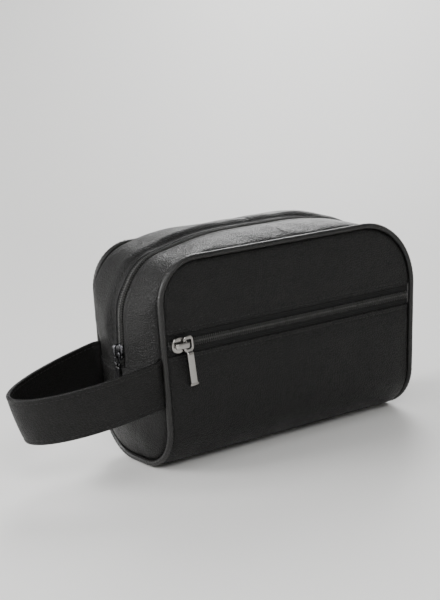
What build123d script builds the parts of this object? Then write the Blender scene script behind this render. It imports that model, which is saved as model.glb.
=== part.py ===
from build123d import *
import os

# Shaving kit bag: a soft leather wash bag with a zip over the top, a zipped front pocket and a wrist strap.
# Millimetres. X runs along the width with the strap at -X, the front faces -Y and Z is up.
# The origin is at the middle of the bottom, where the bag rests.

# Outer shape. One leather wrap makes the front, the bottom and the back; its section is a U.
FACE_Y = 43.5            # outer face of the front and of the back
BOTTOM_ROUND = 35.0      # round between the bottom and the front or back
TALL = 180.0             # well above the bag, for blocks that are trimmed to it
LONG = 150.0             # well past each end of the bag

# The gusset runs up one end, over the top and down the other end. Its outline is given by corner points
# (x, z) and the round at each: first where it is sewn to the front and back, then on its crown midway.
SEW_LINE_Y = 44.0
SEAM_LEFT = [(-115.6, -5.0), (-119.6, 34.0), (-123.7, 136.0), (-115.4, 150.4), (-100.9, 158.5)]
SEAM_RIGHT = [(85.0, 158.5), (108.7, 143.6), (122.3, 119.4), (119.6, 34.0), (115.6, -5.0)]
SEAM_ROUNDS = [0.0, 70.0, 29.0, 29.0, 29.0, 50.0, 50.0, 50.0, 70.0, 0.0]
CROWN_LEFT = [(-115.0, -5.0), (-132.6, 34.0), (-130.8, 124.0), (-113.0, 154.0), (-52.0, 166.0)]
CROWN_RIGHT = [(45.0, 166.0), (106.0, 150.0), (130.5, 112.0), (132.0, 34.0), (115.0, -5.0)]
CROWN_ROUNDS = [0.0, 70.0, 40.0, 38.0, 200.0, 200.0, 55.0, 60.0, 70.0, 0.0]

# Layers, each given by how far its outer and inner faces lie in from the outer face of the leather.
LEATHER = 1.4
LEATHER_EDGE = 1.6       # a panel stops this far in from the face of the panel that it meets
STIFFENER_FACES = (1.7, 2.9)
GUSSET_LINING_FACES = (2.4, 2.9)
WRAP_LINING_FACES = (4.8, 5.3)
LINING_EDGE = 0.3

# Piping: a thin leather-covered cord in the seam, all round the front and the back and under both ends.
PIPING_Y = 42.3
PIPING_RADIUS = 2.2
PIPING_LOW = 2.5         # height of its centre under each end
PIPING_ROUND = 34.0
PIPING_GAP = 0.15
TOP_Z = 158.5
HALF_LOW = 118.5         # half width of the seam at the bottom
HALF_TOP = 124.5         # half width of the seam at the top, if its corners were square
CORNER_LEFT = 31.0
CORNER_RIGHT = 52.0
BINDING_IN = 6.2         # the binding tape runs this far inside the piping
BINDING_Y = 36.2
BINDING_RADIUS = 1.4

# Main zip, over the top between the ends.
MAIN_WINDOW = 5.2        # half width of the gap in the leather
END_PANEL_TOP = 75.5
PANEL_GAP = 0.15
MAIN_TAPE_HALF = 14.0
TAPE_LOW = 67.0
TAPE_FACES = (1.6, 2.2)
COIL_FACES = (-0.4, 1.55)
COIL_NEAR = 0.6          # half of the gap that the slider's blade runs in
COIL_FAR = 2.9
STOP_LONG = 3.0
STOP_HALF = 2.0

# Pocket zip, across the front.
POCKET_ZIP_Z = 97.0
POCKET_WINDOW = 8.5      # half height of the gap in the leather
POCKET_TAPE_HALF = 16.0
POCKET_LOW = 32.0
POCKET_HALF_X = 113.0
POCKET_CLOTH = 0.5
POCKET_FRONT_IN = 2.6    # how far in from the leather's face the pocket's front cloth hangs
POCKET_BACK_IN = 3.9

# Zip slider, in its own frame: X from nose to tail, Y across, Z out of the leather's face.
PLATE_FACES = (0.7, 2.0)
BACK_PLATE_FACES = (-3.3, -2.4)
FLANGE_LOW = -1.1
FLANGE = 1.0
BLADE_HALF = 0.35
CROWN_INNER = 4.6
CROWN_OUTER = 6.3
CROWN_HALF = 1.3
FOOT = 1.3
FRONT_FOOT_IN = 1.4     # from the plate's nose end of the crown's reach to its front foot
POCKET_SLIDER = (14.0, 12.0)     # length, width
POCKET_CAP_HALF = 2.2
MAIN_SLIDER = (12.6, 9.6)
MAIN_CAP_HALF = 1.6
POCKET_SLIDER_X = -109.9
MAIN_SLIDER_Z = 88.5

# Metal pull of the pocket slider: an eye round the crown, a bar and a flared foot.
EYE_FACES = (2.35, 4.2)
BAR_FACES = (2.35, 5.6)
PULL_TILT = 6.3          # degrees that it hangs off plumb, its foot to the right
EYE_HALF = 4.3
EYE_RIM = 1.85
EYE_LOW = -6.2           # heights of the pull are from the crown's rear foot
EYE_HIGH = 6.6
EYE_HOLE = (-3.1, 3.5)
BAR_HALF = 2.9
BAR_LOW = -31.0
BAR_ROUND = 0.9
LIP_HALF = 4.0
LIP_HIGH = 2.0

# Link and tab of the main slider.
LINK_FACES = (2.5, 3.8)
LINK_HALF = 3.8
LINK_LONG = 11.0
LINK_WIRE = 1.5
LINK_ROUND = 2.9
TAB_HALF = 2.9
TAB_HEAD_HALF = 1.4
TAB_HOLE = 1.3
TAB_LONG = 12.0
TAB_FACES = (2.4, 3.9)
TAB_HEAD_FACES = (1.35, 4.95)

# Wrist strap: two layers, a loop whose upper edge is wider than its lower edge, drooping from the seams.
STRAP_LOW = 51.5
STRAP_HIGH = 88.5
STRAP_DROOP = 9.7        # degrees below level
STRAP_TOP_LOOP = (106.5, 44.0)   # reach and half width at the upper edge
STRAP_LOW_LOOP = (94.5, 39.5)
STRAP_LAYER = 1.4
STRAP_LAYER_GAP = 0.1
STRAP_START_X = -129.5
ANCHOR_X = (-125.0, -117.4)
ANCHOR_Y = (36.9, 39.8)
STRAP_SEAM_X = -120.0

os.makedirs("parts", exist_ok=True)


def save(name, solid):
    """Writes one sub-part."""
    export_step(solid, f"parts/{name}.step")


def main_piece(shape):
    """The largest solid of a trimmed shape, without the slivers that trimming can leave."""
    return max(shape.solids(), key=lambda solid: solid.volume)


def inset_corners(corners, inset):
    """The corner points of an outline, moved in by the same distance from every edge."""
    moved = []
    for i, corner in enumerate(corners):
        before = Vector(*corners[i - 1])
        here = Vector(*corner)
        after = Vector(*corners[(i + 1) % len(corners)])
        edge_in = (here - before).normalized()
        edge_out = (after - here).normalized()
        normal_in = Vector(edge_in.Y, -edge_in.X)
        normal_out = Vector(edge_out.Y, -edge_out.X)
        step = (normal_in + normal_out) * (inset / (1 + normal_in.dot(normal_out)))
        moved.append((here.X + step.X, here.Y + step.Y))
    return moved


def gusset_outline(y, inset):
    """The gusset's closed outline on the plane at that y, as a face."""
    rise = 1 - (y / SEW_LINE_Y) ** 2
    seam = SEAM_LEFT + SEAM_RIGHT
    crown = CROWN_LEFT + CROWN_RIGHT
    corners = [(a[0] + rise * (b[0] - a[0]), a[1] + rise * (b[1] - a[1])) for a, b in zip(seam, crown)]
    rounds = [a + rise * (b - a) for a, b in zip(SEAM_ROUNDS, CROWN_ROUNDS)]
    rounds = [max(r - inset, 0) for r in rounds]
    with BuildSketch(Plane.XZ.offset(-y)) as outline:
        with BuildLine():
            FilletPolyline(*inset_corners(corners, inset), radius=rounds, close=True)
        make_face()
    return outline.sketch.faces()[0]


def gusset_block(inset):
    """Solid with the domed outline of the ends and the top, that far in from the leather's face."""
    stations = [-SEW_LINE_Y, -SEW_LINE_Y / 2, 0, SEW_LINE_Y / 2, SEW_LINE_Y]
    return loft([gusset_outline(y, inset) for y in stations])


def wrap_block(inset):
    """Solid with the U section of the front, bottom and back, that far in from the leather's face."""
    half = FACE_Y - inset
    bend = BOTTOM_ROUND - inset
    with BuildSketch(Plane.YZ) as section:
        with BuildLine():
            FilletPolyline(
                (half, TALL), (half, inset), (-half, inset), (-half, TALL), radius=[0, bend, bend, 0], close=True
            )
        make_face()
    return extrude(section.sketch, amount=LONG, both=True)


def span(x, y, z):
    """Box between two values of x, of y and of z."""
    size = (x[1] - x[0], y[1] - y[0], z[1] - z[0])
    centre = ((x[0] + x[1]) / 2, (y[0] + y[1]) / 2, (z[0] + z[1]) / 2)
    return Pos(*centre) * Box(*size)


ALL_X = (-LONG - 5, LONG + 5)
ALL_Y = (-60.0, 60.0)


def seam_tube(side, inset, y, radius):
    """Round tube that follows the seam on one side, and turns under both ends to the middle."""
    low = PIPING_LOW + inset
    half_low = HALF_LOW - inset
    half_top = HALF_TOP - inset
    bend = PIPING_ROUND - inset
    points = [
        (-half_low, side * PIPING_GAP, low),
        (-half_low, side * y, low),
        (-half_top, side * y, TOP_Z - inset),
        (half_top, side * y, TOP_Z - inset),
        (half_low, side * y, low),
        (half_low, side * PIPING_GAP, low),
    ]
    path = FilletPolyline(*points, radius=[bend, CORNER_LEFT - inset, CORNER_RIGHT - inset, bend])
    start = Plane(origin=points[0], z_dir=(0, side, 0))
    return sweep(start * Circle(radius), path=path)


def strap_anchor(side, margin):
    """End of the strap that is sewn into the seam."""
    near = ANCHOR_Y[0] - margin
    far = ANCHOR_Y[1] + margin
    y = (near, far) if side > 0 else (-far, -near)
    return span((ANCHOR_X[0] - margin, ANCHOR_X[1] + margin), y, (STRAP_LOW - margin, STRAP_HIGH + margin))


# Blocks and layers that several pieces are cut from.
leather_clear = seam_tube(-1, 0, PIPING_Y, PIPING_RADIUS + PIPING_GAP) + seam_tube(
    1, 0, PIPING_Y, PIPING_RADIUS + PIPING_GAP
)
gusset_leather = (gusset_block(0) - gusset_block(LEATHER)) & wrap_block(LEATHER_EDGE)
gusset_leather = gusset_leather - leather_clear
wrap_leather = (wrap_block(0) - wrap_block(LEATHER)) & gusset_block(LEATHER_EDGE)
wrap_leather = wrap_leather - leather_clear
strap_slots = span(
    (-LONG, STRAP_SEAM_X + 8), (ANCHOR_Y[0] - PIPING_GAP, FACE_Y), (STRAP_LOW - PIPING_GAP, STRAP_HIGH + PIPING_GAP)
)
strap_slots = strap_slots + mirror(strap_slots, about=Plane.XZ)


def make_wrap():
    """Front below the pocket zip, bottom and back, in one piece of leather."""
    cut_away = span(ALL_X, (-60, 0), (POCKET_ZIP_Z - POCKET_WINDOW, TALL + 5))
    save("wrap_panel", wrap_leather - cut_away)


def make_front_upper():
    """Front above the pocket zip."""
    keep = span(ALL_X, (-60, 0), (POCKET_ZIP_Z + POCKET_WINDOW, TALL + 5))
    save("front_upper_panel", wrap_leather & keep)


def make_gusset():
    """The two strips beside the main zip, and the end panel below it at each end."""
    above = (END_PANEL_TOP + PANEL_GAP, TALL + 5)
    below = (-10, END_PANEL_TOP - PANEL_GAP)
    sewn = gusset_leather - strap_slots
    save("gusset_front_strip", sewn & span(ALL_X, (-60, -MAIN_WINDOW), above))
    save("gusset_rear_strip", sewn & span(ALL_X, (MAIN_WINDOW, 60), above))
    save("left_end_panel", main_piece(sewn & span((-LONG, 0), ALL_Y, below)))
    save("right_end_panel", main_piece(sewn & span((0, LONG), ALL_Y, below)))


def make_piping():
    """The piping, in the two halves that meet under each end."""
    save("front_piping", seam_tube(-1, 0, PIPING_Y, PIPING_RADIUS))
    save("rear_piping", seam_tube(1, 0, PIPING_Y, PIPING_RADIUS))


def make_binding():
    """Tape that binds the raw edges of the seams inside the bag."""
    save("front_seam_binding", seam_tube(-1, BINDING_IN, BINDING_Y, BINDING_RADIUS))
    save("rear_seam_binding", seam_tube(1, BINDING_IN, BINDING_Y, BINDING_RADIUS))


def make_linings():
    """Cloth lining of the wrap, of the gusset strips and of the ends."""
    wrap_cloth = wrap_block(WRAP_LINING_FACES[0]) - wrap_block(WRAP_LINING_FACES[1])
    wrap_cloth = wrap_cloth & gusset_block(GUSSET_LINING_FACES[1] + LINING_EDGE)
    save("wrap_lining", wrap_cloth - strap_slots)
    cloth = gusset_block(GUSSET_LINING_FACES[0]) - gusset_block(GUSSET_LINING_FACES[1])
    cloth = (cloth & wrap_block(WRAP_LINING_FACES[1] + LINING_EDGE)) - strap_slots
    split = END_PANEL_TOP - 2 * STOP_LONG
    clear_y = MAIN_SLIDER[1] / 2 + 2
    save("gusset_front_lining", cloth & span(ALL_X, (-60, -clear_y), (split + LINING_EDGE, TALL)))
    save("gusset_rear_lining", cloth & span(ALL_X, (clear_y, 60), (split + LINING_EDGE, TALL)))
    save("left_end_lining", cloth & span((-LONG, 0), ALL_Y, (-10, split)))
    save("right_end_lining", cloth & span((0, LONG), ALL_Y, (-10, split)))


def make_stiffener():
    """Thin board that keeps the bottom in shape, between leather and lining."""
    board = wrap_block(STIFFENER_FACES[0]) - wrap_block(STIFFENER_FACES[1])
    save("bottom_stiffener", board & span((-112, 112), ALL_Y, (-10, 22)))


def make_pocket():
    """Flat cloth pocket that hangs behind the pocket zip."""
    front = -FACE_Y + POCKET_FRONT_IN
    back = -FACE_Y + POCKET_BACK_IN
    top_front = POCKET_ZIP_Z - POCKET_WINDOW - 0.5
    top_back = POCKET_ZIP_Z + POCKET_TAPE_HALF
    profile = Polyline(
        (front, top_front),
        (front, POCKET_LOW),
        (back + POCKET_CLOTH, POCKET_LOW),
        (back + POCKET_CLOTH, top_back),
        (back, top_back),
        (back, POCKET_LOW + POCKET_CLOTH),
        (front + POCKET_CLOTH, POCKET_LOW + POCKET_CLOTH),
        (front + POCKET_CLOTH, top_front),
        close=True,
    )
    cloth = extrude(Plane.YZ * make_face(profile), amount=POCKET_HALF_X, both=True)
    save("pocket_lining", cloth)


def make_pocket_zip():
    """Tapes and coils of the pocket zip, one above and one below its middle."""
    inside = gusset_block(GUSSET_LINING_FACES[1]) - leather_clear
    tape = (wrap_block(TAPE_FACES[0]) - wrap_block(TAPE_FACES[1])) & inside
    coil = (wrap_block(COIL_FACES[0]) - wrap_block(COIL_FACES[1])) & inside
    for name, sign in (("upper", 1), ("lower", -1)):
        near = POCKET_ZIP_Z + sign * COIL_NEAR
        tape_z = sorted((near, POCKET_ZIP_Z + sign * POCKET_TAPE_HALF))
        coil_z = sorted((near, POCKET_ZIP_Z + sign * COIL_FAR))
        save(f"pocket_{name}_tape", tape & span(ALL_X, (-60, 0), tape_z))
        save(f"pocket_{name}_coil", coil & span(ALL_X, (-60, 0), coil_z))


def make_main_zip():
    """Tapes and coils of the main zip, and the metal stops at its two ends."""
    tape = gusset_block(TAPE_FACES[0]) - gusset_block(TAPE_FACES[1])
    coil = gusset_block(COIL_FACES[0]) - gusset_block(COIL_FACES[1])
    coil_z = (END_PANEL_TOP + 2 * PANEL_GAP + STOP_LONG, TALL)
    for name, sign in (("front", -1), ("rear", 1)):
        tape_y = sorted((sign * COIL_NEAR, sign * MAIN_TAPE_HALF))
        coil_y = sorted((sign * COIL_NEAR, sign * COIL_FAR))
        save(f"main_{name}_tape", tape & span(ALL_X, tape_y, (TAPE_LOW, TALL)))
        save(f"main_{name}_coil", coil & span(ALL_X, coil_y, coil_z))
    stops_z = (END_PANEL_TOP + PANEL_GAP, END_PANEL_TOP + PANEL_GAP + STOP_LONG)
    save("main_zip_stops", coil & span(ALL_X, (-STOP_HALF, STOP_HALF), stops_z))


def slider_outline(length, width):
    """Outline of a slider's plate: a round nose, wide shoulders and a narrower tail."""
    nose = -length / 2
    tail = length / 2
    wide = width / 2
    half = [
        (nose, wide * 0.55),
        (nose + length * 0.22, wide),
        (nose + length * 0.6, wide),
        (tail, wide * 0.72),
    ]
    other = [(x, -y) for x, y in reversed(half)]
    rounds = [2.2, 3.0, 3.0, 1.2, 1.2, 3.0, 3.0, 2.2]
    return make_face(FilletPolyline(*half, *other, radius=rounds, close=True))


def slider_body(length, width):
    """Both plates of a slider, the blade that joins them and the flanges that hold the coil."""
    outline = slider_outline(length, width)
    depth = PLATE_FACES[1] - PLATE_FACES[0]
    plate = extrude(Pos(0, 0, PLATE_FACES[0]) * outline, amount=depth)
    plate = chamfer(plate.faces().sort_by(Axis.Z)[-1].edges(), 0.35)
    flanges = extrude(Pos(0, 0, FLANGE_LOW) * outline, amount=PLATE_FACES[0] - FLANGE_LOW)
    core = Pos(0, 0, (PLATE_FACES[0] + FLANGE_LOW) / 2) * Box(length * 2, width - 2 * FLANGE, PLATE_FACES[0] - FLANGE_LOW)
    back_depth = BACK_PLATE_FACES[1] - BACK_PLATE_FACES[0]
    back = extrude(Pos(0, 0, BACK_PLATE_FACES[0]) * slider_outline(length - 1, width - 1), amount=back_depth)
    blade = span(
        (-length / 2 + 1.0, -length / 2 + 5.0),
        (-BLADE_HALF, BLADE_HALF),
        (BACK_PLATE_FACES[0] + back_depth / 2, PLATE_FACES[0] + depth / 2),
    )
    return plate + (flanges - core) + back + blade


def slider_crown(length, cap_half):
    """Arch on the slider's plate that the pull hooks round, with a wider cap."""
    reach = length / 2 - 0.2
    arch = span((-reach + FRONT_FOOT_IN, reach), (-CROWN_HALF, CROWN_HALF), (PLATE_FACES[1], CROWN_INNER + 0.5))
    gap = span((-reach + FRONT_FOOT_IN + FOOT, reach - FOOT), (-3, 3), (PLATE_FACES[1] - 1, CROWN_INNER))
    cap = span((-reach + FRONT_FOOT_IN - 0.4, reach + 0.3), (-cap_half, cap_half), (CROWN_INNER, CROWN_OUTER))
    cap = fillet(cap.edges().filter_by(Axis.Z), cap_half * 0.8)
    cap = fillet(cap.faces().sort_by(Axis.Z)[-1].edges(), 0.7)
    return (arch - gap) + cap


def slider_lock(length):
    """Leaf spring under the cap, with the pin that locks the coil."""
    reach = length / 2 - 0.2
    start = -reach + FRONT_FOOT_IN + FOOT + 0.1
    leaf = span((start, start + 2.6), (-1.0, 1.0), (CROWN_INNER - 0.45, CROWN_INNER - 0.05))
    pin = span((start, start + 0.6), (-0.5, 0.5), (PLATE_FACES[1] + 0.1, CROWN_INNER - 0.2))
    return leaf + pin


pocket_slider_place = Plane(origin=(POCKET_SLIDER_X, -FACE_Y, POCKET_ZIP_Z), x_dir=(1, 0, 0), z_dir=(0, -1, 0))
end_low = Vector(*CROWN_LEFT[1])
end_high = Vector(*CROWN_LEFT[2])
end_slope = (end_high.X - end_low.X) / (end_high.Y - end_low.Y)
end_x = end_low.X + end_slope * (MAIN_SLIDER_Z - end_low.Y)
main_slider_place = Plane(origin=(end_x, 0, MAIN_SLIDER_Z), x_dir=(end_slope, 0, 1), z_dir=(-1, 0, end_slope))


def make_sliders():
    """The slider of each zip: its body, crown and lock."""
    for name, place, (length, width), cap_half in (
        ("pocket", pocket_slider_place, POCKET_SLIDER, POCKET_CAP_HALF),
        ("main", main_slider_place, MAIN_SLIDER, MAIN_CAP_HALF),
    ):
        save(f"{name}_slider_body", place * slider_body(length, width))
        save(f"{name}_slider_crown", place * slider_crown(length, cap_half))
        save(f"{name}_slider_lock", place * slider_lock(length))


def make_pocket_pull():
    """Metal pull: an eye round the crown's rear foot, a thick bar and a flared lip, hanging a little off plumb."""
    eye = Pos(0, (EYE_LOW + EYE_HIGH) / 2) * RectangleRounded(2 * EYE_HALF, EYE_HIGH - EYE_LOW, 3.4)
    low, high = EYE_HOLE
    hole = Pos(0, (low + high) / 2) * RectangleRounded(2 * (EYE_HALF - EYE_RIM), high - low, 1.2)
    bar = Pos(0, (BAR_LOW + EYE_LOW) / 2) * Rectangle(2 * BAR_HALF, EYE_LOW - BAR_LOW)
    lip = Pos(0, BAR_LOW + LIP_HIGH / 2) * RectangleRounded(2 * LIP_HALF, LIP_HIGH, 0.9)
    handle = extrude(bar + lip, amount=BAR_FACES[1] - BAR_FACES[0])
    handle = fillet(handle.faces().sort_by(Axis.Z)[-1].edges(), BAR_ROUND)
    ring = extrude(eye - hole, amount=EYE_FACES[1] - EYE_FACES[0])
    foot_x = POCKET_SLIDER_X + POCKET_SLIDER[0] / 2 - 0.2 - FOOT / 2
    place = Plane(origin=(foot_x, -FACE_Y - EYE_FACES[0], POCKET_ZIP_Z), x_dir=(1, 0, 0), z_dir=(0, -1, 0))
    save("pocket_pull", place * Rot(0, 0, PULL_TILT) * (ring + handle))


def make_main_pull():
    """Oval link that hooks under the main slider's crown, and the tab that hangs on it."""
    top = 0.6
    low = top - LINK_LONG
    middle = (top + low) / 2
    ring = Pos(middle, 0) * (
        RectangleRounded(LINK_LONG, 2 * LINK_HALF, LINK_ROUND)
        - RectangleRounded(LINK_LONG - 2 * LINK_WIRE, 2 * (LINK_HALF - LINK_WIRE), LINK_ROUND - LINK_WIRE)
    )
    link = extrude(Pos(0, 0, LINK_FACES[0]) * ring, amount=LINK_FACES[1] - LINK_FACES[0])
    save("main_pull_link", main_slider_place * link)
    wire_mid = low + LINK_WIRE / 2
    head = span((wire_mid - 1.8, wire_mid + 1.8), (-TAB_HEAD_HALF, TAB_HEAD_HALF), TAB_HEAD_FACES)
    head = fillet(head.edges().filter_by(Axis.Y), 1.2)
    hole = Pos(wire_mid, 0, (LINK_FACES[0] + LINK_FACES[1]) / 2) * Rot(90, 0, 0) * Cylinder(TAB_HOLE, 10)
    bar = span((wire_mid - TAB_LONG, wire_mid - 1.3), (-TAB_HALF, TAB_HALF), TAB_FACES)
    bar = fillet(bar.edges().filter_by(Axis.Z), 1.4)
    save("main_pull_tab", main_slider_place * ((head + bar) - hole))


def strap_face(height, loop, outer, inner):
    """Section of one strap layer on its tilted plane: a half ellipse with that reach and half width."""
    tilt = Rot(0, -STRAP_DROOP, 0)
    place = Pos(STRAP_SEAM_X, 0, height) * tilt
    reach, half = loop
    ring = Ellipse(reach - outer, half - outer) - Ellipse(reach - inner, half - inner)
    keep = Pos(-LONG, 0) * Rectangle(2 * LONG, 2 * LONG)
    return place * (ring & keep)


def make_strap():
    """Two layers of the loop, and the ends that are sewn into the seams."""
    loop_side = span((-300, STRAP_START_X), (-100, 100), (-100, 200))
    first = (0, STRAP_LAYER)
    second = (STRAP_LAYER + STRAP_LAYER_GAP, 2 * STRAP_LAYER + STRAP_LAYER_GAP)
    for name, (outer, inner) in (("strap_outer", first), ("strap_lining", second)):
        low = strap_face(STRAP_LOW, STRAP_LOW_LOOP, outer, inner)
        high = strap_face(STRAP_HIGH, STRAP_TOP_LOOP, outer, inner)
        band = loft([low.faces()[0], high.faces()[0]], ruled=True)
        save(name, band & loop_side)
    save("strap_front_anchor", strap_anchor(-1, 0))
    save("strap_rear_anchor", strap_anchor(1, 0))


make_wrap()
make_front_upper()
make_gusset()
make_piping()
make_binding()
make_linings()
make_stiffener()
make_pocket()
make_pocket_zip()
make_main_zip()
make_sliders()
make_pocket_pull()
make_main_pull()
make_strap()
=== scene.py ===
import math

import bmesh
import bpy
import numpy as np
from mathutils import Matrix, Vector


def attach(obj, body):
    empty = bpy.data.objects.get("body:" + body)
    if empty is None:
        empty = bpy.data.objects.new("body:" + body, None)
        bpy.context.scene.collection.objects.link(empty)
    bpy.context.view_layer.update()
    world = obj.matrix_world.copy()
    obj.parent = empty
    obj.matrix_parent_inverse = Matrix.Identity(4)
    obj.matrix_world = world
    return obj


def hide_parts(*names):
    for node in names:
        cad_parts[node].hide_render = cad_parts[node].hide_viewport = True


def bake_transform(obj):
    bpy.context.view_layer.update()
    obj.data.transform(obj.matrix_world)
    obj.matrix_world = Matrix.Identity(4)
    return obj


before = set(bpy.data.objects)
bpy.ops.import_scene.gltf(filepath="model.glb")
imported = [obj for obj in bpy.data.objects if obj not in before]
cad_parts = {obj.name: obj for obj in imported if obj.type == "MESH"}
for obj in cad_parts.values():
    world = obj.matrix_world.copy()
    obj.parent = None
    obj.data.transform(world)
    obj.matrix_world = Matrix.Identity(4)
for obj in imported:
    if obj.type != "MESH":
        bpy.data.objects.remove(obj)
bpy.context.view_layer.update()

# ---------------------------------------------------------------------------------------------- studio
# The bag stands on a plain pale floor that sweeps up into a pale wall all round, as in a small studio.
# A long soft light behind it, to its right, rakes its top. Others light its strap end and the floor before
# it, and a wide one hangs over its left. These sizes are in metres.
VIEW_AZIMUTH = math.radians(-36.86)
VIEW_ELEVATION = math.radians(12.66)
VIEW_ROLL = math.radians(-2.21)
VIEW_DISTANCE = 1.13736
VIEW_TARGET = Vector((-0.03876, 0.0, 0.11139))
LENS = 89.262
FLOOR_RADIUS = 1.2
SWEEP_RADIUS = 1.9
WALL_TOP = 2.3
FLOOR_FLAT = (0.05, 0.8)
FLOOR_SIDES = 64
SWEEP_STEPS = 25
FLOOR_COLOUR = (0.80, 0.795, 0.78, 1)
SKY_COLOUR = (0.86, 0.87, 0.88, 1)
SKY_STRENGTH = 0.27
FLOOR_ROUGHNESS = 0.6


def aim(thing, back, top_hint):
    """Turns a camera or a light to look along minus back, with its top as near to top_hint as it can be."""
    side = top_hint.cross(back).normalized()
    top = back.cross(side).normalized()
    turned = Matrix((side, top, back)).transposed().to_4x4()
    thing.matrix_world = Matrix.Translation(thing.location) @ turned


def soft_light(name, place, target, size, watts):
    """An area light at a place, facing a target."""
    data = bpy.data.lights.new(name, "AREA")
    data.shape = "RECTANGLE"
    data.size, data.size_y = size
    data.energy = watts
    lamp = bpy.data.objects.new(name, data)
    bpy.context.scene.collection.objects.link(lamp)
    lamp.location = place
    lamp.visible_camera = False
    aim(lamp, (Vector(place) - Vector(target)).normalized(), Vector((0.1, 1, 0.2)))


camera = bpy.data.objects.new("camera", bpy.data.cameras.new("camera"))
bpy.context.scene.collection.objects.link(camera)
bpy.context.scene.camera = camera
camera.data.lens = LENS
camera.data.clip_start = 0.05
camera.data.clip_end = 30
view_back = Vector(
    (
        math.sin(VIEW_AZIMUTH) * math.cos(VIEW_ELEVATION),
        -math.cos(VIEW_AZIMUTH) * math.cos(VIEW_ELEVATION),
        math.sin(VIEW_ELEVATION),
    )
)
level_side = Vector((math.cos(VIEW_AZIMUTH), math.sin(VIEW_AZIMUTH), 0))
level_top = view_back.cross(level_side)
camera.location = VIEW_TARGET + view_back * VIEW_DISTANCE
aim(camera, view_back, level_top * math.cos(VIEW_ROLL) - level_side * math.sin(VIEW_ROLL))

soft_light("rear_light", (1.50, 1.74, 1.30), (0, 0, 0.14), (2.4, 0.9), 60)
soft_light("strap_end_light", (-1.30, 0.55, 0.70), (-0.10, 0, 0.08), (0.8, 0.7), 27)
soft_light("front_light", (-0.45, -0.80, 0.75), (-0.05, -0.30, 0), (0.4, 0.3), 5)
soft_light("over_light", (-1.3, -0.2, 1.9), (0, 0, 0), (1.8, 1.8), 15)

world = bpy.data.worlds.new("sky")
bpy.context.scene.world = world
world.use_nodes = True
world.node_tree.nodes["Background"].inputs["Color"].default_value = SKY_COLOUR
world.node_tree.nodes["Background"].inputs["Strength"].default_value = SKY_STRENGTH

sweep_turn = np.linspace(0, np.pi / 2, SWEEP_STEPS)
wall_radius = FLOOR_RADIUS + SWEEP_RADIUS
floor_out = np.concatenate([FLOOR_FLAT, FLOOR_RADIUS + SWEEP_RADIUS * np.sin(sweep_turn), [wall_radius]])
floor_up = np.concatenate([[0, 0], SWEEP_RADIUS * (1 - np.cos(sweep_turn)), [WALL_TOP]])
side_turn = np.arange(FLOOR_SIDES) * 2 * np.pi / FLOOR_SIDES
floor_points = np.stack(
    [
        floor_out[:, None] * np.cos(side_turn),
        floor_out[:, None] * np.sin(side_turn),
        np.broadcast_to(floor_up[:, None], (floor_out.size, FLOOR_SIDES)),
    ],
    axis=2,
)
ring_index = np.arange(floor_out.size * FLOOR_SIDES).reshape(-1, FLOOR_SIDES)
ring_next = np.roll(ring_index, -1, axis=1)
floor_faces = np.stack([ring_index[:-1], ring_index[1:], ring_next[1:], ring_next[:-1]], axis=-1)
floor_faces = floor_faces.reshape(-1, 4).tolist() + [list(range(FLOOR_SIDES))]
floor_mesh = bpy.data.meshes.new("floor")
floor_mesh.from_pydata(floor_points.reshape(-1, 3).tolist(), [], floor_faces)
floor_mesh.shade_smooth()
floor = bpy.data.objects.new("floor", floor_mesh)
bpy.context.scene.collection.objects.link(floor)
floor_paint = bpy.data.materials.new("floor_paint")
floor_paint.use_nodes = True
floor_paint.node_tree.nodes["Principled BSDF"].inputs["Base Color"].default_value = FLOOR_COLOUR
floor_paint.node_tree.nodes["Principled BSDF"].inputs["Roughness"].default_value = FLOOR_ROUGHNESS
floor_mesh.materials.append(floor_paint)

# ---------------------------------------------------------------------------------------------- lining
# Black woven polyester lines the wrap, the gusset and both ends, and makes the flat pocket behind the front
# zip. The raw edges of the seams are bound with woven tape, and a grey board stiffens the bottom.
LINING_COLOUR = (0.030, 0.030, 0.033)
BINDING_COLOUR = (0.024, 0.024, 0.026)
BOARD_COLOUR = (0.24, 0.24, 0.23)
CLOTH_PITCH = 0.00055


class Wire:
    """A value in a finish's nodes. Its sums, differences and products are wires too."""

    def __init__(self, tree, socket=None):
        self.tree = tree
        self.socket = socket

    def node(self, kind, settings=None, inputs=None, output=0):
        """Adds a node of that kind, sets its settings and then its sockets, and gives one output's wire."""
        made = self.tree.nodes.new("ShaderNode" + kind)
        for name, value in (settings or {}).items():
            setattr(made, name, value)
        for name, value in (inputs or {}).items():
            if isinstance(value, Wire):
                self.tree.links.new(value.socket, made.inputs[name])
            else:
                made.inputs[name].default_value = value
        return Wire(self.tree, made.outputs[output])

    def maths(self, operation, *values):
        return self.node("Math", {"operation": operation}, dict(enumerate(values)))

    def __add__(self, other):
        return self.maths("ADD", self, other)

    def __radd__(self, other):
        return self.maths("ADD", other, self)

    def __sub__(self, other):
        return self.maths("SUBTRACT", self, other)

    def __rsub__(self, other):
        return self.maths("SUBTRACT", other, self)

    def __mul__(self, other):
        return self.maths("MULTIPLY", self, other)

    def __rmul__(self, other):
        return self.maths("MULTIPLY", other, self)


def shaded(colour, share):
    """The colour made darker or lighter by that share, as a shader's four numbers."""
    return tuple(min(c * share, 1) for c in colour) + (1,)


def new_finish(name, colour, roughness, metallic=0.0, specular=0.5):
    """A finish with its even values set, its shader, and the wire that its patterns start from."""
    finish = bpy.data.materials.new(name)
    finish.use_nodes = True
    shader = finish.node_tree.nodes["Principled BSDF"]
    shader.inputs["Base Color"].default_value = shaded(colour, 1)
    shader.inputs["Roughness"].default_value = roughness
    shader.inputs["Metallic"].default_value = metallic
    shader.inputs["Specular IOR Level"].default_value = specular
    return finish, shader, Wire(finish.node_tree)


def feed(shader, socket, wire):
    """Links a wire to one of the shader's sockets."""
    wire.tree.links.new(wire.socket, shader.inputs[socket])


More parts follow.
